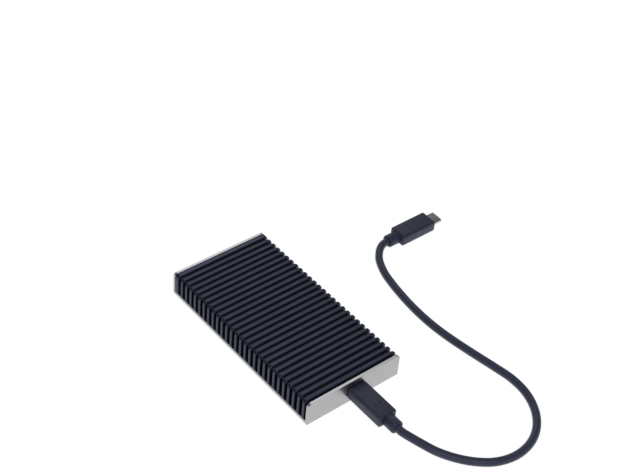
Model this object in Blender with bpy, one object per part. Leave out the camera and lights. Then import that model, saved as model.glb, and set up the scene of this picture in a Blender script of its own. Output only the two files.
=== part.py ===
"""Portable solid state drive with its detachable lead, as an assembly of separate pieces.

The drive stands on z = 0 with its origin under its centre: +X is its width, -Y is the end with
the port, +Z is up. A ribbed shell closes a flat tray with two end plates. Inside are a bridge
board with the port, and a plug-in memory module. The lead runs from the port round to its far plug.
"""

import math

import bmesh
import bpy
from mathutils import Vector

MM = 0.001

# Case
WIDTH = 57.0 * MM
LENGTH = 110.0 * MM
HEIGHT = 13.5 * MM
BASE_THICKNESS = 1.8 * MM
FRONT_PLATE = 1.4 * MM
REAR_PLATE = 1.4 * MM
CORNER_RADIUS = 2.0 * MM
FIT_GAP = 0.05 * MM

# Ribs of the shell
RIB_COUNT = 28
RIB_PITCH = 3.811 * MM
RIB_WIDTH = 2.1 * MM
RIB_HEIGHT = 1.5 * MM
FIRST_RIB_Y = -51.2 * MM
SHELL_WALL_INNER_X = 25.4 * MM
SHELL_CEILING_Z = 10.4 * MM

# Port and plugs
PORT_X = 1.25 * MM
PORT_Z = 6.45 * MM
PLUG_GAP = 0.3 * MM
PLUG_BODY = (10.9 * MM, 22.8 * MM, 6.9 * MM)
PLUG_SHELL = (8.2 * MM, 2.36 * MM)
PLUG_SHELL_REACH = 6.5 * MM
PLUG_SHELL_ROOT = 0.9 * MM
PLUG_WALL = 0.25 * MM

# Boards
BOARD_TOP_Z = 4.4 * MM
BOARD_THICKNESS = 1.2 * MM
BOARD_HALF_WIDTH = 19.0 * MM
BOARD_FRONT_Y = -52.4 * MM
BOARD_REAR_Y = 52.6 * MM
BOARD_SCREW = (16.2 * MM, 48.5 * MM)
CASE_SCREW = (23.0 * MM, 47.0 * MM)
MODULE_BOTTOM_Z = 6.85 * MM
MODULE_THICKNESS = 0.8 * MM
MODULE_FRONT_Y = -31.5 * MM
MODULE_REAR_Y = 48.5 * MM

# Lead
CABLE_DIAMETER = 4.2 * MM
FAR_PLUG_FACE = (116.1 * MM, 19.4 * MM, 3.5 * MM)
# The route's points in millimetres, from the near boot to the far boot. The lead drops from the
# port to the surface, sweeps round in one open curve and rises a little into the far boot.
CABLE_ROUTE = (
    (1.25, -85.5, 6.45),
    (1.4, -88.2, 6.4),
    (2.5, -92.1, 6.2),
    (4.7, -97.9, 5.5),
    (8.1, -105.1, 4.3),
    (13.5, -112.3, 3.0),
    (20.1, -119.1, 2.35),
    (27.9, -124.5, 2.15),
    (37.0, -127.2, 2.15),
    (46.5, -126.7, 2.15),
    (55.3, -123.2, 2.15),
    (62.6, -117.1, 2.15),
    (67.8, -109.3, 2.15),
    (70.8, -100.4, 2.15),
    (71.4, -91.0, 2.15),
    (70.1, -81.7, 2.15),
    (68.4, -72.3, 2.15),
    (66.8, -63.0, 2.15),
    (65.4, -53.7, 2.15),
    (64.5, -44.3, 2.15),
    (64.3, -34.9, 2.15),
    (64.8, -25.5, 2.15),
    (65.9, -16.2, 2.15),
    (67.5, -6.9, 2.15),
    (69.8, 2.3, 2.15),
    (73.6, 10.9, 2.35),
    (77.8, 16.0, 2.8),
    (81.1, 18.4, 3.2),
    (83.6, 19.3, 3.45),
    (85.75, 19.4, 3.5),
)
CABLE_POINTS = 76


def clear_scene():
    for obj in list(bpy.data.objects):
        bpy.data.objects.remove(obj)


def material(name, color, roughness, metallic=0.0):
    made = bpy.data.materials.new(name)
    made.use_nodes = True
    shader = made.node_tree.nodes["Principled BSDF"]
    shader.inputs["Base Color"].default_value = (*color, 1.0)
    shader.inputs["Roughness"].default_value = roughness
    shader.inputs["Metallic"].default_value = metallic
    made.diffuse_color = (*color, 1.0)
    return made


# Meshes


def node(name, mesh_data, surface, smooth_angle=35.0):
    """Make the named object of a finished bmesh."""
    bmesh.ops.recalc_face_normals(mesh_data, faces=mesh_data.faces)
    mesh = bpy.data.meshes.new(name)
    mesh_data.to_mesh(mesh)
    mesh_data.free()
    mesh.materials.append(surface)
    mesh.shade_smooth()
    mesh.set_sharp_from_angle(angle=math.radians(smooth_angle))
    made = bpy.data.objects.new(name, mesh)
    bpy.context.scene.collection.objects.link(made)
    return made


def loft(rings):
    """A closed bmesh of the skin through rings that all have the same number of points."""
    skin = bmesh.new()
    loops = [[skin.verts.new(point) for point in ring] for ring in rings]
    count = len(rings[0])
    for lower, upper in zip(loops, loops[1:]):
        for i in range(count):
            j = (i + 1) % count
            skin.faces.new((lower[i], lower[j], upper[j], upper[i]))
    skin.faces.new(loops[0])
    skin.faces.new(loops[-1])
    return skin


def turned(profile, sides):
    """A bmesh turned about Z from (radius, height) points, with flat ends."""
    rings = []
    for radius, height in profile:
        turn = [2 * math.pi * i / sides for i in range(sides)]
        rings.append([(radius * math.cos(a), radius * math.sin(a), height) for a in turn])
    return loft(rings)


def rounded_rectangle(width, depth, radius, steps=3):
    """Counter-clockwise points of a rectangle with round corners, about (0, 0)."""
    points = []
    for quarter, (sx, sy) in enumerate(((1, 1), (-1, 1), (-1, -1), (1, -1))):
        cx = sx * (width / 2 - radius)
        cy = sy * (depth / 2 - radius)
        for i in range(steps + 1):
            angle = math.pi / 2 * (quarter + i / steps)
            points.append((cx + radius * math.cos(angle), cy + radius * math.sin(angle)))
    return points


def slab(outline, low, high, centre=(0.0, 0.0)):
    """A bmesh of an outline in X and Y, raised from height low to height high."""
    rings = [[(x + centre[0], y + centre[1], z) for x, y in outline] for z in (low, high)]
    return loft(rings)


def block(size_x, size_y, low, high, centre=(0.0, 0.0), radius=0.2 * MM):
    return slab(rounded_rectangle(size_x, size_y, radius, 2), low, high, centre)


def along_y(outline, front, rear, centre=(0.0, 0.0)):
    """A bmesh of an outline in X and Z, drawn along Y from front to rear."""
    rings = [[(x + centre[0], y, z + centre[1]) for x, z in outline] for y in (front, rear)]
    return loft(rings)


# Booleans


def helper(name, mesh_data):
    """A hidden object for a Boolean modifier."""
    bmesh.ops.recalc_face_normals(mesh_data, faces=mesh_data.faces)
    mesh = bpy.data.meshes.new(name)
    mesh_data.to_mesh(mesh)
    mesh_data.free()
    made = bpy.data.objects.new(name, mesh)
    bpy.context.scene.collection.objects.link(made)
    made.hide_render = True
    made.display_type = "WIRE"
    return made


def combine(target, operation, name, mesh_data, at=(0.0, 0.0, 0.0)):
    tool = helper(name, mesh_data)
    tool.location = at
    tool.parent = target.parent
    modifier = target.modifiers.new(name, "BOOLEAN")
    modifier.operation = operation
    modifier.solver = "EXACT"
    modifier.object = tool


def cut(target, name, mesh_data, at=(0.0, 0.0, 0.0)):
    combine(target, "DIFFERENCE", name, mesh_data, at)


def join(target, name, mesh_data, at=(0.0, 0.0, 0.0)):
    combine(target, "UNION", name, mesh_data, at)


def corners(half_x, half_y):
    """Four named places, at plus and minus each distance."""
    return (
        ("front_left", -half_x, -half_y),
        ("front_right", half_x, -half_y),
        ("rear_left", -half_x, half_y),
        ("rear_right", half_x, half_y),
    )


# Case


def arch(half_width, top, radius, bottom, steps=3):
    """Points in X and Z from the left foot, over two round corners, to the right foot."""
    points = [(-half_width, bottom)]
    for side, first in ((-1, math.pi), (1, math.pi / 2)):
        for i in range(steps + 1):
            angle = first - math.pi / 2 * i / steps
            x = side * (half_width - radius) + radius * math.cos(angle)
            points.append((x, top - radius + radius * math.sin(angle)))
    points.append((half_width, bottom))
    return points


def shell_stations():
    """(y, depth below the rib tops) along the shell, two stations at each rib edge."""
    front = -LENGTH / 2 + FRONT_PLATE + FIT_GAP
    rear = LENGTH / 2 - REAR_PLATE - FIT_GAP
    stations = [(front, RIB_HEIGHT)]
    for i in range(RIB_COUNT):
        centre = FIRST_RIB_Y + i * RIB_PITCH
        stations.append((centre - RIB_WIDTH / 2, RIB_HEIGHT))
        stations.append((centre - RIB_WIDTH / 2, 0.0))
        if i < RIB_COUNT - 1:
            stations.append((centre + RIB_WIDTH / 2, 0.0))
            stations.append((centre + RIB_WIDTH / 2, RIB_HEIGHT))
    stations.append((rear, 0.0))
    return stations


def heatsink_shell(surface):
    bottom = BASE_THICKNESS + FIT_GAP
    stations = shell_stations()
    inner = arch(SHELL_WALL_INNER_X, SHELL_CEILING_Z, 1.0 * MM, bottom)
    skin = bmesh.new()
    outer_rings = []
    for y, depth in stations:
        outline = arch(WIDTH / 2 - depth, HEIGHT - depth, CORNER_RADIUS - depth * 0.6, bottom)
        outer_rings.append([skin.verts.new((x, y, z)) for x, z in outline])
    inner_rings = []
    for y in (stations[0][0], stations[-1][0]):
        inner_rings.append([skin.verts.new((x, y, z)) for x, z in inner])
    for rings in (outer_rings, inner_rings):
        for front, rear in zip(rings, rings[1:]):
            for i in range(len(front) - 1):
                skin.faces.new((front[i], front[i + 1], rear[i + 1], rear[i]))
    for side in (0, -1):
        foot = [ring[side] for ring in outer_rings]
        skin.faces.new(foot + [inner_rings[1][side], inner_rings[0][side]])
    for end in (0, -1):
        skin.faces.new(outer_rings[end] + inner_rings[end][::-1])
    made = node("heatsink_shell", skin, surface)
    for place, x, y in corners(*CASE_SCREW):
        boss = turned(((2.6 * MM, bottom), (2.6 * MM, SHELL_CEILING_Z + 0.5 * MM)), 16)
        join(made, "boss_" + place, boss, (x, y, 0))
    for place, x, y in corners(*CASE_SCREW):
        hole = turned(((1.06 * MM, 0.0), (1.06 * MM, 7.0 * MM)), 16)
        cut(made, "boss_hole_" + place, hole, (x, y, 0))
    return made


def screw_profile(clearance=0.0):
    """Countersunk case screw, from its flat head up to its tip."""
    return (
        (2.0 * MM + clearance, 0.1 * MM - clearance * 10),
        (2.0 * MM + clearance, 0.3 * MM),
        (1.0 * MM + clearance, 1.15 * MM),
        (1.0 * MM + clearance, 6.4 * MM),
        (0.7 * MM + clearance, 6.8 * MM),
    )


def base_tray(surface):
    outline = arch(WIDTH / 2, HEIGHT, CORNER_RADIUS, 0.0, 5)
    made = node("base_tray", along_y(outline, -LENGTH / 2, LENGTH / 2), surface)
    front = -LENGTH / 2 + FRONT_PLATE
    rear = LENGTH / 2 - REAR_PLATE
    pocket = block(2 * WIDTH, rear - front, BASE_THICKNESS, 2 * HEIGHT, (0, (front + rear) / 2), 0.01 * MM)
    cut(made, "tray_pocket", pocket)
    for place, x, y in corners(*BOARD_SCREW):
        boss = turned(((2.0 * MM, 0.6 * MM), (2.0 * MM, BOARD_TOP_Z - BOARD_THICKNESS - FIT_GAP)), 16)
        join(made, "board_boss_" + place, boss, (x, y, 0))
        hole = turned(((0.96 * MM, 0.5 * MM), (0.96 * MM, 5 * MM)), 16)
        cut(made, "board_hole_" + place, hole, (x, y, 0))
    for place, x, y in corners(*CASE_SCREW):
        cut(made, "countersink_" + place, turned(screw_profile(0.06 * MM), 20), (x, y, 0))
    slot = rounded_rectangle(9.4 * MM, 3.6 * MM, 1.7 * MM, 5)
    cut(made, "port_slot", along_y(slot, -60 * MM, -50 * MM, (PORT_X, PORT_Z)))
    return made


def hex_socket(radius, low, high):
    return turned(((radius, low), (radius, high)), 6)


def case_screws(surface):
    for place, x, y in corners(*CASE_SCREW):
        made = node("case_screw_" + place, turned(screw_profile(), 20), surface)
        made.location = (x, y, 0)
        cut(made, "case_socket_" + place, hex_socket(0.85 * MM, -1 * MM, 0.75 * MM), (x, y, 0))


def board_screws(surface):
    head = BOARD_TOP_Z + FIT_GAP
    profile = (
        (0.7 * MM, 0.7 * MM),
        (0.9 * MM, 1.0 * MM),
        (0.9 * MM, head),
        (1.8 * MM, head),
        (1.8 * MM, head + 0.5 * MM),
        (1.4 * MM, head + 0.9 * MM),
    )
    for place, x, y in corners(*BOARD_SCREW):
        made = node("board_screw_" + place, turned(profile, 16), surface)
        made.location = (x, y, 0)
        cut(made, "board_socket_" + place, hex_socket(0.8 * MM, head + 0.35 * MM, head + 2 * MM), (x, y, 0))


# Port


def usb_receptacle(steel, plastic):
    front = -54.6 * MM
    back = -47.2 * MM
    centre = (PORT_X, PORT_Z)
    outer = rounded_rectangle(8.94 * MM, 3.14 * MM, 1.5 * MM, 5)
    shell = node("usb_receptacle_shell", along_y(outer, front, back, centre), steel)
    for i, (x, y) in enumerate(((-3, -48.2), (3, -48.2), (-3, -51.6), (3, -51.6))):
        leg = block(0.8 * MM, 0.9 * MM, BOARD_TOP_Z + FIT_GAP, PORT_Z - MM, (PORT_X + x * MM, y * MM), 0.1 * MM)
        join(shell, f"receptacle_leg_{i + 1}", leg)
    bore = rounded_rectangle(8.4 * MM, 2.6 * MM, 1.25 * MM, 5)
    cut(shell, "receptacle_bore", along_y(bore, front - MM, back + MM, centre))
    carrier = rounded_rectangle(8.3 * MM, 2.5 * MM, 1.2 * MM, 4)
    tongue = node("usb_receptacle_tongue", along_y(carrier, -48.5 * MM, back, centre), plastic)
    blade = rounded_rectangle(6.6 * MM, 0.66 * MM, 0.15 * MM, 2)
    join(tongue, "receptacle_blade", along_y(blade, -53.7 * MM, -48.0 * MM, centre))


# Boards and what is on them


def chip(name, surface, size_x, size_y, low, height, x, y):
    return node(name, block(size_x * MM, size_y * MM, low, low + height * MM, (x * MM, y * MM)), surface)


def bridge_board(surfaces):
    low = BOARD_TOP_Z - BOARD_THICKNESS
    middle = (BOARD_FRONT_Y + BOARD_REAR_Y) / 2
    outline = rounded_rectangle(2 * BOARD_HALF_WIDTH, BOARD_REAR_Y - BOARD_FRONT_Y, 1.5 * MM)
    board = node("bridge_pcb", slab(outline, low, BOARD_TOP_Z, (0, middle)), surfaces["board"])
    for place, x, y in corners(*BOARD_SCREW):
        hole = turned(((1.1 * MM, 0.0), (1.1 * MM, 7 * MM)), 16)
        cut(board, "board_screw_hole_" + place, hole, (x, y, 0))
    top = BOARD_TOP_Z + FIT_GAP
    chip("bridge_controller", surfaces["chip"], 7, 7, top, 0.9, -4.5, -41.6)
    chip("firmware_flash", surfaces["chip"], 5, 5, top, 1.4, -15.5, -30)
    chip("clock_crystal", surfaces["steel"], 3.2, 2.5, top, 0.8, 2.4, -41.6)
    chip("power_inductor", surfaces["ferrite"], 4.2, 4.2, top, 2.0, 9.5, -41.6)
    chip("input_capacitor", surfaces["ceramic"], 3.2, 1.6, top, 1.4, 14.5, -38.5)
    chip("output_capacitor", surfaces["ceramic"], 3.2, 1.6, top, 1.4, 14.5, -42.0)
    chip("status_led", surfaces["led"], 1.6, 0.8, top, 0.6, -12, -50.5)


def memory_module(surfaces):
    low = MODULE_BOTTOM_Z
    top = low + MODULE_THICKNESS
    neck = MODULE_FRONT_Y + 3.8 * MM
    half, neck_half = 11.0 * MM, 9.9 * MM
    outline = (
        (-neck_half, MODULE_FRONT_Y),
        (neck_half, MODULE_FRONT_Y),
        (neck_half, neck),
        (half, neck),
        (half, MODULE_REAR_Y),
        (-half, MODULE_REAR_Y),
        (-half, neck),
        (-neck_half, neck),
    )
    board = node("m2_module_pcb", slab(outline, low, top), surfaces["board"])
    notch = turned(((1.75 * MM, low - MM), (1.75 * MM, top + MM)), 20)
    cut(board, "module_notch", notch, (0, MODULE_REAR_Y, 0))
    key = block(1.2 * MM, 7 * MM, low - MM, top + MM, (6.6 * MM, MODULE_FRONT_Y), 0.1 * MM)
    cut(board, "module_key", key)
    above = top + FIT_GAP
    chip("ssd_controller", surfaces["chip"], 13, 12, above, 1.3, 0, -18.5)
    chip("dram_package", surfaces["chip"], 12, 8, above, 1.3, 0, -4)
    chip("nand_package_front", surfaces["chip"], 18, 14, above, 1.4, 0, 11.5)
    chip("nand_package_rear", surfaces["chip"], 18, 14, above, 1.4, 0, 28.5)
    chip("power_manager", surfaces["chip"], 4, 4, above, 0.8, -8.6, -17)
    pad = block(18 * MM, 62 * MM, 9.15 * MM, SHELL_CEILING_Z - FIT_GAP, (0, 6 * MM), 1 * MM)
    node("thermal_pad", pad, surfaces["pad"])


def module_socket(surfaces):
    low = BOARD_TOP_Z + FIT_GAP
    high = BOARD_TOP_Z + 4.2 * MM
    middle = -32.4 * MM
    socket = node("m2_socket", block(21.9 * MM, 8.7 * MM, low, high, (0, middle)), surfaces["chip"])
    gap = 0.05 * MM
    mouth = block(20.4 * MM, 8 * MM, MODULE_BOTTOM_Z - gap, MODULE_BOTTOM_Z + MODULE_THICKNESS + gap,
                  (0, -28 * MM), 0.1 * MM)
    cut(socket, "socket_mouth", mouth)
    standoff = turned(((2.25 * MM, low), (2.25 * MM, MODULE_BOTTOM_Z - gap)), 20)
    made = node("m2_standoff", standoff, surfaces["brass"])
    made.location = (0, MODULE_REAR_Y, 0)
    thread = turned(((0.9 * MM, 4 * MM), (0.9 * MM, 9 * MM)), 16)
    cut(made, "standoff_thread", thread, (0, MODULE_REAR_Y, 0))
    seat = MODULE_BOTTOM_Z + MODULE_THICKNESS + FIT_GAP
    profile = (
        (0.8 * MM, 5.1 * MM),
        (0.8 * MM, seat),
        (2.3 * MM, seat),
        (2.3 * MM, seat + 0.5 * MM),
        (2.0 * MM, seat + 0.8 * MM),
    )
    made = node("m2_screw", turned(profile, 16), surfaces["steel"])
    made.location = (0, MODULE_REAR_Y, 0)
    cut(made, "m2_screw_socket", hex_socket(0.8 * MM, seat + 0.3 * MM, seat + 2 * MM), (0, MODULE_REAR_Y, 0))


# Lead


def plug_body_rings():
    """Sections of the moulded plug from its face (y = 0) back to the boot."""
    width, length, height = PLUG_BODY
    rings = []
    for back, shrink, radius in (
        (0.0, 0.3, 1.5),
        (0.3, 0.0, 1.7),
        (15.0, 0.0, 1.7),
        (22.1, 0.15, 1.7),
        (22.6, 0.4, 1.7),
        (22.8, 0.8, 1.6),
    ):
        outline = rounded_rectangle(width - 2 * shrink * MM, height - 1.4 * shrink * MM, radius * MM, 3)
        rings.append([(x, -min(back * MM, length), z) for x, z in outline])
    return rings


def boot_rings():
    """Sections of the strain relief: a straight sleeve with a round lip."""
    start = PLUG_BODY[1] + FIT_GAP
    rings = []
    for back, half_width, half_height in (
        (0.0, 3.5, 3.2),
        (0.2, 3.6, 3.3),
        (6.2, 3.6, 3.3),
        (6.6, 3.4, 3.2),
        (7.0, 2.9, 2.8),
    ):
        ring = []
        for i in range(20):
            angle = 2 * math.pi * i / 20
            x = half_width * MM * math.cos(angle)
            ring.append((x, -start - back * MM, half_height * MM * math.sin(angle)))
        rings.append(ring)
    return rings


def plug(name, face, heading, surfaces):
    """A plug whose face centre is at face and which points along heading, measured from +X."""
    axis = bpy.data.objects.new(name + "_axis", None)
    bpy.context.scene.collection.objects.link(axis)
    axis.location = face
    axis.rotation_euler = (0, 0, heading - math.pi / 2)

    body = node(name + "_overmold", loft(plug_body_rings()), surfaces["plug"], 50)
    body.parent = axis
    width, height = PLUG_SHELL
    root = -PLUG_SHELL_ROOT
    seat = rounded_rectangle(width + 0.1 * MM, height + 0.1 * MM, height / 2, 4)
    cut(body, name + "_seat", along_y(seat, root - 0.1 * MM, MM))

    boot = node(name + "_boot", loft(boot_rings()), surfaces["plug"], 50)
    boot.parent = axis

    steel = rounded_rectangle(width, height, height / 2 - 0.02 * MM, 4)
    shell = node(name + "_shell", along_y(steel, root, PLUG_SHELL_REACH), surfaces["steel"])
    shell.parent = axis
    inner_width = width - 2 * PLUG_WALL
    inner_height = height - 2 * PLUG_WALL
    bore = rounded_rectangle(inner_width, inner_height, inner_height / 2 - 0.02 * MM, 4)
    cut(shell, name + "_bore", along_y(bore, root - MM, PLUG_SHELL_REACH + MM))

    gap = 0.06 * MM
    carrier = rounded_rectangle(inner_width - gap * 2, inner_height - gap * 2, 0.75 * MM, 3)
    insulator = node(name + "_insulator", along_y(carrier, root, PLUG_SHELL_REACH - 0.3 * MM), surfaces["chip"])
    insulator.parent = axis
    mouth = rounded_rectangle(6.9 * MM, 0.82 * MM, 0.15 * MM, 2)
    cut(insulator, name + "_mouth", along_y(mouth, 0.7 * MM, 9 * MM))


def spline_point(route, t):
    """The point at t (in spans) of a Catmull-Rom curve through the route."""
    span = min(int(t), len(route) - 2)
    u = t - span
    before = route[max(span - 1, 0)]
    start, end = route[span], route[span + 1]
    after = route[min(span + 2, len(route) - 1)]
    return 0.5 * (
        2 * start
        + (end - before) * u
        + (2 * before - 5 * start + 4 * end - after) * u**2
        + (3 * start - before - 3 * end + after) * u**3
    )


def even_points(route, count):
    """Points at even distances along the smooth curve through the route."""
    fine = [spline_point(route, i * (len(route) - 1) / 2000) for i in range(2001)]
    travelled = [0.0]
    for a, b in zip(fine, fine[1:]):
        travelled.append(travelled[-1] + (b - a).length)
    points = []
    index = 0
    for i in range(count):
        goal = travelled[-1] * i / (count - 1)
        while index < len(fine) - 2 and travelled[index + 1] < goal:
            index += 1
        share = (goal - travelled[index]) / (travelled[index + 1] - travelled[index])
        points.append(fine[index].lerp(fine[index + 1], share))
    return points


def cable(surface):
    route = [Vector(point) * MM for point in CABLE_ROUTE]
    curve = bpy.data.curves.new("cable_jacket", "CURVE")
    curve.dimensions = "3D"
    curve.bevel_depth = CABLE_DIAMETER / 2
    curve.bevel_resolution = 2
    curve.use_fill_caps = True
    spline = curve.splines.new("POLY")
    spline.points.add(CABLE_POINTS - 1)
    for place, point in zip(spline.points, even_points(route, CABLE_POINTS)):
        place.co = (*point, 1.0)
    curve.materials.append(surface)
    made = bpy.data.objects.new("cable_jacket", curve)
    bpy.context.scene.collection.objects.link(made)


def main():
    clear_scene()
    surfaces = {
        "board": material("board_green", (0.02, 0.09, 0.05), 0.4),
        "chip": material("chip_black", (0.03, 0.03, 0.035), 0.5),
        "steel": material("plated_steel", (0.62, 0.62, 0.64), 0.25, 1.0),
        "ferrite": material("ferrite_grey", (0.12, 0.12, 0.13), 0.6),
        "ceramic": material("capacitor_tan", (0.45, 0.32, 0.2), 0.5),
        "led": material("led_white", (0.8, 0.8, 0.75), 0.3),
        "pad": material("pad_grey_blue", (0.35, 0.42, 0.5), 0.8),
        "brass": material("brass", (0.72, 0.53, 0.25), 0.3, 1.0),
        "plug": material("plug_grey", (0.045, 0.048, 0.07), 0.45),
    }
    heatsink_shell(material("dark_anodised", (0.055, 0.06, 0.085), 0.4, 0.6))
    base_tray(material("satin_silver", (0.6, 0.6, 0.61), 0.3, 1.0))
    case_screws(surfaces["steel"])
    board_screws(surfaces["steel"])
    usb_receptacle(surfaces["steel"], surfaces["chip"])
    bridge_board(surfaces)
    memory_module(surfaces)
    module_socket(surfaces)
    sheet = block(36 * MM, 88 * MM, BASE_THICKNESS + FIT_GAP, BASE_THICKNESS + 0.35 * MM, radius=2 * MM)
    node("insulating_sheet", sheet, material("film_amber", (0.5, 0.28, 0.05), 0.3))
    near_face = (PORT_X, -LENGTH / 2 - PLUG_GAP, PORT_Z)
    plug("near_plug", near_face, math.pi / 2, surfaces)
    plug("far_plug", FAR_PLUG_FACE, 0.0, surfaces)
    cable(material("jacket_dark", (0.03, 0.033, 0.045), 0.5))
    bpy.context.view_layer.update()


main()
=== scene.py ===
"""Looks of the portable solid state drive and its lead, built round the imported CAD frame.

The drive stands on z = 0: +X is its width, -Y is the end with the port, +Z is up. Lengths are in
metres; MM turns a length in millimetres into metres.
"""

import math

import bmesh
import bpy
from mathutils import Matrix, Vector


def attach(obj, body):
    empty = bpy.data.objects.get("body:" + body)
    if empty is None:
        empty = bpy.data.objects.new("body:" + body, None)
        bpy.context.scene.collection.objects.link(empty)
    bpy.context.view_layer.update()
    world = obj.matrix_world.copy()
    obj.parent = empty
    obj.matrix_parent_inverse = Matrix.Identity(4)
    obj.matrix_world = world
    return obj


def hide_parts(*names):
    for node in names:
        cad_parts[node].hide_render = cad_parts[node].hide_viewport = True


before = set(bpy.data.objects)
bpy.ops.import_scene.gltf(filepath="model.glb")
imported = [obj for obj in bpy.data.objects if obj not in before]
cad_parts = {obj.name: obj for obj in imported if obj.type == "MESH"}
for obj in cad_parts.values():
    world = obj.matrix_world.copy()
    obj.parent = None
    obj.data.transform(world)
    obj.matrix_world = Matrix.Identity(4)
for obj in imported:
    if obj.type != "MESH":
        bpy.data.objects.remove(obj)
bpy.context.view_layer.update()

MM = 0.001

# Case, as in the CAD model
HALF_WIDTH = 28.5 * MM
HALF_LENGTH = 55.0 * MM
HEIGHT = 13.5 * MM
BASE_THICKNESS = 1.8 * MM
FRONT_PLATE = 1.4 * MM
REAR_PLATE = 1.4 * MM
CORNER_RADIUS = 2.0 * MM
FIT_GAP = 0.05 * MM
PLATE_EDGE = 0.05 * MM
PLATE_SHARP = 10.0  # degrees: keeps the flat faces free of the eased edges' shading

# Ribs
RIB_COUNT = 28
RIB_PITCH = 3.811 * MM
FIRST_RIB_Y = -51.2 * MM
GROOVE_FLOOR_RADIUS = 0.45 * MM
INNER_ROUND = 0.3 * MM
# Grooves as (depth, half width, depth of the crest's rounding, its squareness), down the sides and
# over the top, where the ribs are rounder and the grooves shallower
SIDE_GROOVE = (2.1 * MM, 1.06 * MM, 0.35 * MM, 2.8)
TOP_GROOVE = (1.25 * MM, 0.88 * MM, 0.55 * MM, 2.2)
GROOVE_END_Z = 3.15 * MM
SHELL_WALL_X = 25.4 * MM
SHELL_CEILING_Z = 10.4 * MM

# Port and plugs
PORT_X = 1.25 * MM
PORT_Z = 6.45 * MM
PORT_SIZE = (9.4 * MM, 3.6 * MM)
PORT_ROUND = 1.7 * MM
PORT_MOUTH = ((0.35 * MM, -0.3 * MM), (0.0, 0.35 * MM), (0.0, 4.0 * MM))  # (growth, depth)
PLUG_GAP = 0.3 * MM
PLUG_SIZE = (10.9 * MM, 22.8 * MM, 6.9 * MM)
PLUG_ROUND = 1.7 * MM
PLUG_EDGES = (0.35 * MM, 0.8 * MM)
PLUG_SHELL = (8.2 * MM, 2.36 * MM)
PLUG_SHELL_REACH = 6.5 * MM
PLUG_SHELL_ROOT = 0.9 * MM
PLUG_WALL = 0.25 * MM
BOOT_HALF = (3.6 * MM, 3.3 * MM)
BOOT_LENGTH = 7.0 * MM
DIMPLE_SPREAD = 1.5 * MM
DIMPLE_BACK = 15.2 * MM
# A dimple's (radius, height) from the plug's top
DIMPLE = ((0.64 * MM, 0.2 * MM), (0.5 * MM, 0.0), (0.42 * MM, -0.4 * MM), (0.2 * MM, -0.55 * MM))
NEAR_PLUG = ((PORT_X, -HALF_LENGTH - PLUG_GAP, PORT_Z), math.pi / 2)
FAR_PLUG = ((116.1 * MM, 19.4 * MM, 3.5 * MM), 0.0)

# Screws under the tray
CASE_SCREW = (23.0 * MM, 47.0 * MM)
# The screws' countersunk holes, as (radius, height)
SCREW_SINK = ((2.36 * MM, -0.2 * MM), (2.06 * MM, 0.1 * MM), (2.06 * MM, 0.3 * MM),
              (1.06 * MM, 1.15 * MM), (1.06 * MM, 3.0 * MM))

# Lead: its route in millimetres, as in the CAD model, with its ends run on into the boots
CABLE_DIAMETER = 4.2 * MM
CABLE_ROUTE = (
    (1.25, -84.5, 6.45),
    (1.25, -86.0, 6.45),
    (1.4, -88.2, 6.4),
    (2.5, -92.1, 6.2),
    (4.7, -97.9, 5.5),
    (8.1, -105.1, 4.3),
    (13.5, -112.3, 3.0),
    (20.1, -119.1, 2.35),
    (27.9, -124.5, 2.15),
    (37.0, -127.2, 2.15),
    (46.5, -126.7, 2.15),
    (55.3, -123.2, 2.15),
    (62.6, -117.1, 2.15),
    (67.8, -109.3, 2.15),
    (70.8, -100.4, 2.15),
    (71.4, -91.0, 2.15),
    (70.1, -81.7, 2.15),
    (68.4, -72.3, 2.15),
    (66.8, -63.0, 2.15),
    (65.4, -53.7, 2.15),
    (64.5, -44.3, 2.15),
    (64.3, -34.9, 2.15),
    (64.8, -25.5, 2.15),
    (65.9, -16.2, 2.15),
    (67.5, -6.9, 2.15),
    (69.8, 2.3, 2.15),
    (73.6, 10.9, 2.35),
    (77.8, 16.0, 2.8),
    (81.1, 18.4, 3.2),
    (83.6, 19.3, 3.45),
    (85.2, 19.4, 3.5),
    (86.9, 19.4, 3.5),
)
CABLE_POINTS = 240

# Camera: where it stands and the directions of its right, its up and its view
CAMERA_PLACE = (-0.32727, -0.37653, 0.50035)
CAMERA_RIGHT = (0.776236, -0.626476, 0.070621)
CAMERA_UP = (0.372875, 0.546540, 0.749841)
CAMERA_VIEW = (0.508349, 0.555722, -0.657841)
CAMERA_LENS = 79.69

# Lights: direction, distance, size, power in watts, and the place they face
SOFTBOX = ((0.56, 0.76, 0.90), 1.3, (0.7, 0.8), 2.4, (-0.08, 0.0, 0.0))
KEY = ((-0.30, -0.60, 0.74), 1.5, (0.9, 0.7), 5.0, (0.0, 0.0, 0.0))


# Camera and light


def set_camera():
    data = bpy.data.cameras.new("camera")
    data.sensor_width = 36.0
    data.lens = CAMERA_LENS
    data.clip_start = 0.01
    camera = bpy.data.objects.new("camera", data)
    turn = Matrix((CAMERA_RIGHT, CAMERA_UP, -Vector(CAMERA_VIEW))).transposed()
    camera.matrix_world = Matrix.Translation(CAMERA_PLACE) @ turn.to_4x4()
    bpy.context.scene.collection.objects.link(camera)
    bpy.context.scene.camera = camera


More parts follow.
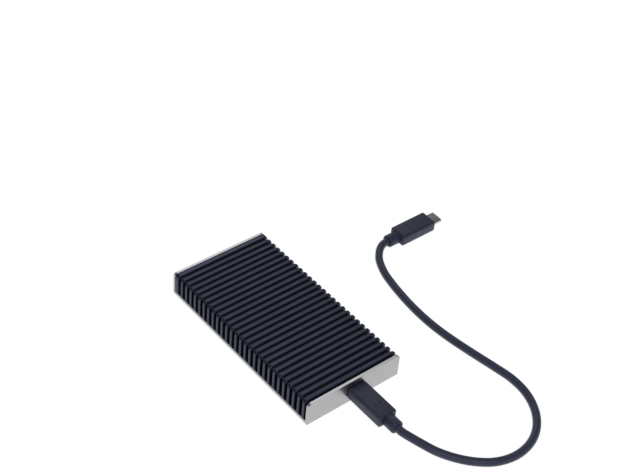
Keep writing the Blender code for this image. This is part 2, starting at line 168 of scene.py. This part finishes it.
def set_world():
    """A dim studio whose walls are light near the floor."""
    world = bpy.data.worlds.new("studio")
    world.use_nodes = True
    nodes, links = world.node_tree.nodes, world.node_tree.links
    background = nodes["Background"]
    place = nodes.new("ShaderNodeTexCoord")
    split = nodes.new("ShaderNodeSeparateXYZ")
    ramp = nodes.new("ShaderNodeValToRGB")
    links.new(place.outputs["Generated"], split.inputs[0])
    links.new(split.outputs["Z"], ramp.inputs["Fac"])
    links.new(ramp.outputs["Color"], background.inputs["Color"])
    stops = ramp.color_ramp.elements
    stops[0].position, stops[0].color = 0.0, (0.9, 0.9, 0.91, 1)
    stops[1].position, stops[1].color = 1.0, (0.4, 0.405, 0.42, 1)
    for position, level in ((0.06, 0.8), (0.2, 0.3), (0.4, 0.14), (0.75, 0.15)):
        stop = stops.new(position)
        stop.color = (level, level, level * 1.04, 1)
    bpy.context.scene.world = world


def area_light(name, direction, distance, size, power, target):
    data = bpy.data.lights.new(name, "AREA")
    data.shape = "RECTANGLE"
    data.size, data.size_y = size
    data.energy = power
    light = bpy.data.objects.new(name, data)
    aim = Vector(direction).normalized()
    light.location = Vector(target) + aim * distance
    light.rotation_euler = aim.to_track_quat("Z", "Y").to_euler()
    bpy.context.scene.collection.objects.link(light)


def floor():
    mesh = bpy.data.meshes.new("floor")
    reach = 6.0
    corners = [(-reach, -reach, 0), (reach, -reach, 0), (reach, reach, 0), (-reach, reach, 0)]
    mesh.from_pydata(corners, [], [(0, 1, 2, 3)])
    made = bpy.data.objects.new("floor", mesh)
    made.location.z = -0.02 * MM
    bpy.context.scene.collection.objects.link(made)
    paper = bpy.data.materials.new("floor_paper")
    paper.use_nodes = True
    shader = paper.node_tree.nodes["Principled BSDF"]
    shader.inputs["Base Color"].default_value = (0.25, 0.25, 0.25, 1)
    shader.inputs["Roughness"].default_value = 0.9
    shader.inputs["Specular IOR Level"].default_value = 0.0
    shader.inputs["Emission Color"].default_value = (1, 1, 1, 1)
    shader.inputs["Emission Strength"].default_value = 0.92
    mesh.materials.append(paper)


# Materials


class Finish:
    """A Principled material and short ways to add nodes to it."""

    def __init__(self, name, color, roughness, metallic=0.0, **numbers):
        self.material = bpy.data.materials.new(name)
        self.material.use_nodes = True
        self.nodes = self.material.node_tree.nodes
        self.links = self.material.node_tree.links
        self.shader = self.nodes["Principled BSDF"]
        self.color = (*color, 1.0)
        self.shader.inputs["Base Color"].default_value = self.color
        self.shader.inputs["Roughness"].default_value = roughness
        self.shader.inputs["Metallic"].default_value = metallic
        for socket, value in numbers.items():
            self.shader.inputs[socket.replace("_", " ")].default_value = value
        self.place = self.nodes.new("ShaderNodeTexCoord").outputs["Object"]
        self.material.diffuse_color = self.color

    def noise(self, size, detail=2.0, stretch=(1, 1, 1)):
        """A noise from 0 to 1 whose grains are about that size in metres."""
        mapping = self.nodes.new("ShaderNodeMapping")
        mapping.inputs["Scale"].default_value = stretch
        made = self.nodes.new("ShaderNodeTexNoise")
        made.inputs["Scale"].default_value = 1.0 / size
        made.inputs["Detail"].default_value = detail
        self.links.new(self.place, mapping.inputs["Vector"])
        self.links.new(mapping.outputs[0], made.inputs["Vector"])
        return made.outputs["Fac"]

    def span(self, source, low, high, start=0.3, end=0.7):
        """source, from start to end, mapped to low to high."""
        made = self.nodes.new("ShaderNodeMapRange")
        for socket, value in zip(("From Min", "From Max", "To Min", "To Max"), (start, end, low, high)):
            made.inputs[socket].default_value = value
        self.links.new(source, made.inputs["Value"])
        return made.outputs["Result"]

    def blend(self, factor, first, second):
        made = self.nodes.new("ShaderNodeMix")
        made.data_type = "RGBA"
        self.links.new(factor, made.inputs["Factor"])
        for socket, value in ((made.inputs[6], first), (made.inputs[7], second)):
            if isinstance(value, tuple):
                socket.default_value = value
            else:
                self.links.new(value, socket)
        return made.outputs[2]

    def scaled(self, share):
        """The finish's colour, share times as bright."""
        return tuple(channel * share for channel in self.color[:3]) + (1.0,)

    def bump(self, height, depth, strength=1.0):
        made = self.nodes.new("ShaderNodeBump")
        made.inputs["Distance"].default_value = depth
        made.inputs["Strength"].default_value = strength
        self.links.new(height, made.inputs["Height"])
        return made.outputs["Normal"]

    def wire(self, **sockets):
        for socket, source in sockets.items():
            self.links.new(source, self.shader.inputs[socket.replace("_", " ")])
        return self.material


def anodised():
    """Dyed, bead-blasted aluminium, with painted shade: its colour is darker down in the grooves."""
    made = Finish("anodised_slate", (0.053, 0.059, 0.086), 0.36, 1.0,
                  Specular_Tint=(0.75, 0.77, 0.82, 1.0))
    cloud = made.noise(9 * MM, 3)
    grain = made.noise(0.16 * MM, 2)
    depth = made.nodes.new("ShaderNodeAttribute")
    depth.attribute_name = "depth"
    low = made.blend(made.span(cloud, 0, 1), made.scaled(0.93), made.scaled(1.06))
    # Painted shade: the colour falls to 0.72 of itself the deeper a point lies in the grooves, by the depth
    # attribute
    groove_painted_shade = made.blend(made.span(depth.outputs["Fac"], 0, 1, 0.15, 0.9), low, made.scaled(0.72))
    rough = made.span(grain, 0.31, 0.42)
    return made.wire(Base_Color=groove_painted_shade, Roughness=rough, Normal=made.bump(grain, 0.006 * MM, 0.5))


def satin_aluminium():
    made = Finish("satin_aluminium", (0.43, 0.43, 0.437), 0.3, 1.0)
    grain = made.noise(0.14 * MM, 2)
    cloud = made.noise(12 * MM, 2)
    color = made.blend(made.span(cloud, 0, 1), made.scaled(0.97), made.scaled(1.03))
    rough = made.span(grain, 0.26, 0.36)
    return made.wire(Base_Color=color, Roughness=rough, Normal=made.bump(grain, 0.004 * MM, 0.5))


def moulded(name, color, roughness, grain_size=0.18 * MM, depth=0.004 * MM):
    """Moulded plastic with a fine eroded skin."""
    made = Finish(name, color, roughness, Specular_IOR_Level=0.24)
    grain = made.noise(grain_size, 3)
    cloud = made.noise(7 * MM, 2)
    shade = made.blend(made.span(cloud, 0, 1), made.scaled(0.92), made.scaled(1.08))
    rough = made.span(grain, roughness - 0.05, roughness + 0.07)
    return made.wire(Base_Color=shade, Roughness=rough, Normal=made.bump(grain, depth, 0.5))


def metal(name, color, roughness, grain_size=0.1 * MM, depth=0.002 * MM):
    made = Finish(name, color, roughness, 1.0)
    grain = made.noise(grain_size, 2)
    cloud = made.noise(3 * MM, 2)
    shade = made.blend(made.span(cloud, 0, 1), made.scaled(0.92), made.scaled(1.05))
    rough = made.span(grain, roughness * 0.8, roughness * 1.25)
    return made.wire(Base_Color=shade, Roughness=rough, Normal=made.bump(grain, depth, 0.5))


# Meshes


def piece(name, data, body, material, replaced=(), smooth=40.0):
    """Make the named, shown object of a finished bmesh, parent it to its body's empty and hide the CAD parts
    it replaces.
    """
    bmesh.ops.recalc_face_normals(data, faces=data.faces)
    mesh = bpy.data.meshes.new(name)
    data.to_mesh(mesh)
    data.free()
    mesh.materials.append(material)
    mesh.shade_smooth()
    mesh.set_sharp_from_angle(angle=math.radians(smooth))
    made = bpy.data.objects.new(name, mesh)
    bpy.context.scene.collection.objects.link(made)
    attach(made, body)
    if replaced:
        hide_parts(*replaced)
    return made


def loft(rings, caps=True):
    skin = bmesh.new()
    loops = [[skin.verts.new(point) for point in ring] for ring in rings]
    count = len(rings[0])
    for lower, upper in zip(loops, loops[1:]):
        for i in range(count):
            j = (i + 1) % count
            skin.faces.new((lower[i], lower[j], upper[j], upper[i]))
    if caps:
        skin.faces.new(loops[0])
        skin.faces.new(loops[-1])
    return skin


def turned(profile, sides=48, centre=(0.0, 0.0)):
    """A bmesh turned about a vertical axis from (radius, height) points."""
    turn = [2 * math.pi * i / sides for i in range(sides)]
    x, y = centre
    rings = []
    for radius, height in profile:
        rings.append([(x + radius * math.cos(a), y + radius * math.sin(a), height) for a in turn])
    return loft(rings)


def rounded_rectangle(width, depth, radius, steps=8):
    points = []
    for quarter, (sx, sy) in enumerate(((1, 1), (-1, 1), (-1, -1), (1, -1))):
        cx, cy = sx * (width / 2 - radius), sy * (depth / 2 - radius)
        for i in range(steps + 1):
            angle = math.pi / 2 * (quarter + i / steps)
            points.append((cx + radius * math.cos(angle), cy + radius * math.sin(angle)))
    return points


def shape(target, operation, data):
    """Join or cut with another closed bmesh, and keep only the result."""
    bmesh.ops.recalc_face_normals(data, faces=data.faces)
    mesh = bpy.data.meshes.new("tool")
    data.to_mesh(mesh)
    data.free()
    tool = bpy.data.objects.new("tool", mesh)
    bpy.context.scene.collection.objects.link(tool)
    modifier = target.modifiers.new("shape", "BOOLEAN")
    modifier.operation, modifier.solver, modifier.object = operation, "EXACT", tool
    bpy.context.view_layer.update()
    evaluated = target.evaluated_get(bpy.context.evaluated_depsgraph_get())
    finished = bpy.data.meshes.new_from_object(evaluated)
    target.modifiers.clear()
    target.data = finished
    bpy.data.objects.remove(tool)


# Shell


def groove_profile(groove):
    """(distance from a groove's middle, depth), from the groove's floor to the next rib's crest."""
    deep, half, crest_depth, power = groove
    flat = half - 0.1 * MM - GROOVE_FLOOR_RADIUS
    points = [(0.0, deep)]
    for i in range(5):
        angle = math.radians(80) * i / 4
        across = flat + GROOVE_FLOOR_RADIUS * math.sin(angle)
        points.append((across, deep - GROOVE_FLOOR_RADIUS * (1 - math.cos(angle))))
    reach = RIB_PITCH / 2 - half
    for i in range(9):
        angle = math.pi / 2 * i / 8
        across = RIB_PITCH / 2 - reach * math.cos(angle) ** (2 / power)
        points.append((across, crest_depth * (1 - math.sin(angle) ** (2 / power))))
    return points


def topness(row):
    """How far a row's grooves are those of the top: 0 on the sides and 1 on the top."""
    part, _, place = row
    if part == "corner":
        return math.sin(place) ** 2
    return 1.0 if part == "top" else 0.0


def arch_rows():
    """Where rows run over the shell, from the left groove ends to the right ones, as (part, place)."""
    side = [("side", i / 6) for i in range(6)]
    corner = [("corner", math.pi / 2 * i / 12) for i in range(13)]
    left = [(part, -1, place) for part, place in side + corner]
    middle = [("top", 1, -1 + i / 4) for i in range(1, 8)]
    right = [(part, 1, place) for part, place in reversed(side + corner)]
    return left + middle + right


def row_point(row, depth):
    """X and Z of a row at that depth below the crests."""
    part, side, place = row
    round_off = max(CORNER_RADIUS - depth, INNER_ROUND)
    across = HALF_WIDTH - depth
    turn_x, turn_z = across - round_off, HEIGHT - depth - round_off
    if part == "foot":
        return side * across, place
    if part == "side":
        return side * across, GROOVE_END_Z + (turn_z - GROOVE_END_Z) * place
    if part == "corner":
        return side * (turn_x + round_off * math.cos(place)), turn_z + round_off * math.sin(place)
    return place * turn_x, HEIGHT - depth


def border_point(angle, bottom):
    """Where a ray at that angle below level leaves the cell round a groove's end."""
    if angle <= math.pi / 4:
        return RIB_PITCH / 2, GROOVE_END_Z - (GROOVE_END_Z - bottom) * math.tan(angle)
    return RIB_PITCH / 2 / math.tan(angle), bottom


def end_point(across, angle, bottom):
    """The place, from the groove's middle, of a point that far out on a ray below level."""
    half = SIDE_GROOVE[1]
    if across <= half:
        return across * math.cos(angle), GROOVE_END_Z - across * math.sin(angle)
    share = (across - half) / (RIB_PITCH / 2 - half)
    edge_y, edge_z = border_point(angle, bottom)
    y = half * math.cos(angle) * (1 - share) + edge_y * share
    z = (GROOVE_END_Z - half * math.sin(angle)) * (1 - share) + edge_z * share
    return y, z


def heatsink():
    bottom = BASE_THICKNESS + FIT_GAP
    front = -HALF_LENGTH + FRONT_PLATE + FIT_GAP
    rear = HALF_LENGTH - REAR_PLATE - FIT_GAP
    side_profile, top_profile = groove_profile(SIDE_GROOVE), groove_profile(TOP_GROOVE)
    rows = arch_rows()
    crest = [FIRST_RIB_Y + i * RIB_PITCH for i in range(RIB_COUNT)]
    fan = [math.pi / 2 * i / 12 for i in range(13)]

    skin = bmesh.new()
    depth_layer = skin.verts.layers.float.new("depth")

    def vertex(row, y, depth):
        x, z = row_point(row, depth)
        made = skin.verts.new((x, y, z))
        # The depth attribute is the mask for the painted shade in the grooves of the anodised finish
        made[depth_layer] = depth / SIDE_GROOVE[0]
        return made

    def station(row, middle, way, i):
        """The vertex of a row at station i of the profile, before or behind a groove's middle."""
        share = topness(row)
        across, depth = (a * (1 - share) + b * share for a, b in zip(side_profile[i], top_profile[i]))
        return vertex(row, max(middle + way * across, front), depth)

    def sheet(columns):
        for left, right in zip(columns, columns[1:]):
            for i in range(len(left) - 1):
                skin.faces.new((left[i], left[i + 1], right[i + 1], right[i]))

    # First half groove, beside the front plate: it runs all the way down
    stations = range(len(side_profile))
    last = [(crest[-1], 0.0), (rear - 0.5 * MM, 0.0), (rear - 0.25 * MM, 0.06 * MM),
            (rear - 0.08 * MM, 0.25 * MM), (rear, 0.5 * MM)]
    lower = [border_point(angle, bottom)[1] for angle in fan if angle < math.pi / 4 + 0.01][1:]
    left_foot = [("foot", -1, z) for z in reversed(lower)]
    right_foot = [("foot", 1, z) for z in lower]
    whole = left_foot + rows + right_foot
    sheet([[station(row, crest[0] - RIB_PITCH / 2, 1, i) for row in whole] for i in stations])
    sheet([[vertex(row, y, depth) for row in whole] for y, depth in last])

    # Grooves between ribs: straight over the arch, and a round end on each side
    for start in crest[:-1]:
        middle = start + RIB_PITCH / 2
        for way in (-1, 1):
            sheet([[station(row, middle, way, i) for row in rows] for i in stations])
        for side in (-1.0, 1.0):
            for way in (-1.0, 1.0):
                columns = []
                for angle in fan:
                    column = []
                    for across, depth in side_profile:
                        y, z = end_point(across, angle, bottom)
                        column.append(vertex(("foot", side, z), middle + way * y, depth))
                    columns.append(column)
                sheet(columns)

    bmesh.ops.remove_doubles(skin, verts=skin.verts, dist=0.002 * MM)

    # Inside, feet and ends
    def outline(y):
        edge = {v for e in skin.edges if e.is_boundary for v in e.verts if abs(v.co.y - y) < 0.001 * MM}
        return sorted(edge, key=lambda v: math.atan2(v.co.x, v.co.z - bottom))

    front_edge = outline(front)
    rear_edge = outline(rear)
    feet = []
    for side in (-1, 1):
        edge = {v for e in skin.edges if e.is_boundary for v in e.verts if abs(v.co.z - bottom) < 0.001 * MM}
        feet.append(sorted((v for v in edge if v.co.x * side > 0), key=lambda v: v.co.y))
    inner = [(-SHELL_WALL_X, bottom), (-SHELL_WALL_X, SHELL_CEILING_Z), (SHELL_WALL_X, SHELL_CEILING_Z),
             (SHELL_WALL_X, bottom)]
    inner_front = [skin.verts.new((x, front, z)) for x, z in inner]
    inner_rear = [skin.verts.new((x, rear, z)) for x, z in inner]
    for i in range(3):
        skin.faces.new((inner_front[i], inner_front[i + 1], inner_rear[i + 1], inner_rear[i]))
    skin.faces.new(front_edge + inner_front[::-1])
    skin.faces.new(rear_edge + inner_rear[::-1])
    skin.faces.new(feet[0] + [inner_rear[0], inner_front[0]])
    skin.faces.new(feet[1] + [inner_rear[3], inner_front[3]])
    return piece("heatsink_cover", skin, "drive", anodised(), ["heatsink_shell"], 50)


# Tray


def arch_outline(half_width, top, radius, bottom, foot=0.0, steps=12):
    """Points in X and Z round a plate with two round corners at its top and small ones at its foot."""
    points = []
    for side, first in ((-1, math.pi), (1, math.pi / 2)):
        for i in range(steps + 1):
            angle = first - math.pi / 2 * i / steps
            points.append((side * (half_width - radius) + radius * math.cos(angle),
                           top - radius + radius * math.sin(angle)))
    for side, first in ((1, 0.0), (-1, -math.pi / 2)):
        for i in range(4):
            angle = first - math.pi / 2 * i / 3
            points.append((side * (half_width - foot) + foot * math.cos(angle),
                           bottom + foot + foot * math.sin(angle)))
    return points


def plate(front, rear):
    """An end plate with its four long edges eased."""
    rings = []
    ease = PLATE_EDGE
    steps = ((1.0, 0.0), (0.62, 0.08), (0.29, 0.29), (0.08, 0.62), (0.0, 1.0))
    for shrink, inward in steps:
        rings.append((front + ease * inward, ease * shrink))
    for shrink, inward in reversed(steps):
        rings.append((rear - ease * inward, ease * shrink))
    outlines = []
    for y, shrink in rings:
        outline = arch_outline(HALF_WIDTH - shrink, HEIGHT - shrink, CORNER_RADIUS - shrink, shrink, 0.2 * MM)
        outlines.append([(x, y, z) for x, z in outline])
    return loft(outlines)


def tray(silver):
    front = -HALF_LENGTH + FRONT_PLATE
    rear = HALF_LENGTH - REAR_PLATE
    front_end = plate(-HALF_LENGTH, front)
    made = piece("tray_body", front_end, "drive", silver, ["base_tray"], PLATE_SHARP)
    shape(made, "UNION", plate(rear, HALF_LENGTH))
    floor_outline = rounded_rectangle(2 * HALF_WIDTH, BASE_THICKNESS, 0.2 * MM, 3)
    rings = [[(x, y, z + BASE_THICKNESS / 2) for x, z in floor_outline]
             for y in (front - MM, rear + 0.6 * MM)]
    shape(made, "UNION", loft(rings))
    width, height = PORT_SIZE
    rings = []
    for grow, back in PORT_MOUTH:
        outline = rounded_rectangle(width + 2 * grow, height + 2 * grow, PORT_ROUND + grow, 10)
        rings.append([(x + PORT_X, -HALF_LENGTH + back, z + PORT_Z) for x, z in outline])
    shape(made, "DIFFERENCE", loft(rings))
    for x in (-CASE_SCREW[0], CASE_SCREW[0]):
        for y in (-CASE_SCREW[1], CASE_SCREW[1]):
            shape(made, "DIFFERENCE", turned(SCREW_SINK, 64, (x, y)))
    made.data.shade_smooth()
    made.data.set_sharp_from_angle(angle=math.radians(PLATE_SHARP))
    return made


# Plugs


def placed(rings, plug):
    """Rings drawn on a plug that faces +Y at the origin, moved to where the plug is."""
    face, heading = plug
    move = Matrix.Translation(face) @ Matrix.Rotation(heading - math.pi / 2, 4, "Z")
    return [[move @ Vector(point) for point in ring] for ring in rings]


def eased_block(width, height, radius, start, end, edges, steps=10):
    """Rings along -Y of a rounded block whose end edges are round: edges are (start, end) radii."""
    turn = [math.pi / 2 * i / 6 for i in range(7)]
    near, far = edges
    rings = [(start + near * (1 - math.cos(a)), near * (1 - math.sin(a))) for a in turn]
    rings += [(end - far * (1 - math.cos(a)), far * (1 - math.sin(a))) for a in reversed(turn)]
    made = []
    for back, shrink in rings:
        round_off = max(radius - shrink, 0.3 * MM)
        outline = rounded_rectangle(width - 2 * shrink, height - 2 * shrink, round_off, steps)
        made.append([(x, -back, z) for x, z in outline])
    return made


def oval_rings(stations, sides=64):
    """Rings along -Y from (distance back, half width, half height)."""
    turn = [2 * math.pi * i / sides for i in range(sides)]
    return [[(w * math.cos(a), -back, h * math.sin(a)) for a in turn] for back, w, h in stations]


def plug(name, where, plastic, steel):
    width, length, height = PLUG_SIZE
    block = eased_block(width, height, PLUG_ROUND, 0.0, length, PLUG_EDGES)
    body = piece(name + "_body", loft(placed(block, where)), "lead", plastic,
                 [name + "_overmold"], 30)
    turn = [2 * math.pi * i / 24 for i in range(24)]
    for side in (-1, 1):
        x, y = side * DIMPLE_SPREAD, -DIMPLE_BACK
        rings = [[(x + radius * math.cos(a), y + radius * math.sin(a), height / 2 + high) for a in turn]
                 for radius, high in DIMPLE]
        shape(body, "DIFFERENCE", loft(placed(rings, where)))
    seat_width, seat_height = PLUG_SHELL[0] + 0.1 * MM, PLUG_SHELL[1] + 0.1 * MM
    seat = rounded_rectangle(seat_width, seat_height, seat_height / 2 - 0.01 * MM, 10)
    rings = [[(x, y, z) for x, z in seat] for y in (-PLUG_SHELL_ROOT - 0.1 * MM, MM)]
    shape(body, "DIFFERENCE", loft(placed(rings, where)))
    body.data.shade_smooth()
    body.data.set_sharp_from_angle(angle=math.radians(30))

    start = length + FIT_GAP
    end = start + BOOT_LENGTH
    w, h = BOOT_HALF
    edge = 0.7 * MM
    stations = [(start, w - 0.12 * MM, h - 0.12 * MM), (start + 0.15 * MM, w, h)]
    for i in range(7):
        angle = math.pi / 2 * i / 6
        stations.append((end - edge + edge * math.sin(angle), w - edge * (1 - math.cos(angle)),
                         h - edge * (1 - math.cos(angle))))
    mouth = CABLE_DIAMETER / 2
    stations += [(end, mouth + 0.35 * MM, mouth + 0.3 * MM),
                 (end - 0.1 * MM, mouth + 0.18 * MM, mouth + 0.16 * MM),
                 (end - 0.9 * MM, mouth + 0.12 * MM, mouth + 0.12 * MM)]
    sleeve = loft(placed(oval_rings(stations), where))
    boot = piece(name + "_sleeve", sleeve, "lead", plastic, [name + "_boot"], 40)

    wide, high = PLUG_SHELL
    tip = -PLUG_SHELL_REACH
    outer = [(PLUG_SHELL_ROOT, 0.0), (tip + 0.12 * MM, 0.0), (tip + 0.03 * MM, 0.05 * MM),
             (tip, 0.12 * MM), (tip + 0.02 * MM, 0.2 * MM), (tip + 0.1 * MM, PLUG_WALL),
             (PLUG_SHELL_ROOT, PLUG_WALL)]
    rings = []
    for back, shrink in outer:
        outline = rounded_rectangle(wide - 2 * shrink, high - 2 * shrink, high / 2 - shrink - 0.02 * MM, 10)
        rings.append([(x, -back, z) for x, z in outline])
    rings.append(rings[0])
    skin = loft(placed(rings, where), caps=False)
    bmesh.ops.remove_doubles(skin, verts=skin.verts, dist=0.0005 * MM)
    tongue = piece(name + "_tongue", skin, "lead", steel, [name + "_shell"], 40)
    return [body, boot, tongue]


# Lead


def spline_point(route, t):
    """The point at t (in spans) of a Catmull-Rom curve through the route."""
    span = min(int(t), len(route) - 2)
    u = t - span
    before = route[max(span - 1, 0)]
    start, end = route[span], route[span + 1]
    after = route[min(span + 2, len(route) - 1)]
    return 0.5 * (2 * start + (end - before) * u + (2 * before - 5 * start + 4 * end - after) * u**2
                  + (3 * start - before - 3 * end + after) * u**3)


def lead(material):
    route = [Vector(point) * MM for point in CABLE_ROUTE]
    curve = bpy.data.curves.new("lead_cable", "CURVE")
    curve.dimensions = "3D"
    curve.bevel_depth = CABLE_DIAMETER / 2
    curve.bevel_resolution = 7
    curve.use_fill_caps = True
    spline = curve.splines.new("POLY")
    spline.points.add(CABLE_POINTS - 1)
    for i, place in enumerate(spline.points):
        place.co = (*spline_point(route, i * (len(route) - 1) / (CABLE_POINTS - 1)), 1.0)
    curve.materials.append(material)
    made = bpy.data.objects.new("lead_cable", curve)
    bpy.context.scene.collection.objects.link(made)
    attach(made, "lead")
    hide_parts("cable_jacket")


# Everything


def main():
    bpy.context.scene.view_settings.view_transform = "Standard"
    set_camera()
    set_world()
    floor()
    area_light("softbox", *SOFTBOX)
    area_light("key", *KEY)
    heatsink()
    tray(satin_aluminium())
    plastic = moulded("plug_plastic", (0.038, 0.047, 0.080), 0.40)
    dark = moulded("dark_carrier", (0.02, 0.02, 0.022), 0.45)
    steel = metal("bright_steel", (0.6, 0.6, 0.61), 0.25)
    pieces = []
    for name, where in (("near_plug", NEAR_PLUG), ("far_plug", FAR_PLUG)):
        pieces += plug(name, where, plastic, steel)
        pieces.append(name + "_insulator")
    lead(moulded("jacket_rubber", (0.047, 0.056, 0.092), 0.34, 0.12 * MM, 0.001 * MM))
    inside = {
        "board": moulded("board_green", (0.02, 0.09, 0.05), 0.4),
        "chip": dark,
        "steel": steel,
        "ferrite": moulded("ferrite_grey", (0.12, 0.12, 0.13), 0.6),
        "ceramic": moulded("capacitor_tan", (0.45, 0.32, 0.2), 0.5),
        "led": moulded("led_white", (0.8, 0.8, 0.75), 0.3),
        "pad": moulded("pad_grey_blue", (0.35, 0.42, 0.5), 0.8),
        "film": moulded("film_amber", (0.5, 0.28, 0.05), 0.3),
        "brass": metal("brass", (0.72, 0.53, 0.25), 0.3),
    }
    finishes = {
        "board": ("bridge_pcb", "m2_module_pcb"),
        "chip": ("bridge_controller", "firmware_flash", "m2_socket", "ssd_controller", "dram_package",
                 "nand_package_front", "nand_package_rear", "power_manager", "usb_receptacle_tongue",
                 "near_plug_insulator", "far_plug_insulator"),
        "steel": ("usb_receptacle_shell", "clock_crystal", "m2_screw",
                  *(f"{kind}_screw_{end}_{side}" for kind in ("case", "board") for end in ("front", "rear")
                    for side in ("left", "right"))),
        "ferrite": ("power_inductor",),
        "ceramic": ("input_capacitor", "output_capacitor"),
        "led": ("status_led",),
        "pad": ("thermal_pad",),
        "film": ("insulating_sheet",),
        "brass": ("m2_standoff",),
    }
    for kind, names in finishes.items():
        for name in names:
            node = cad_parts[name]
            node.data.materials.clear()
            node.data.materials.append(inside[kind])


main()
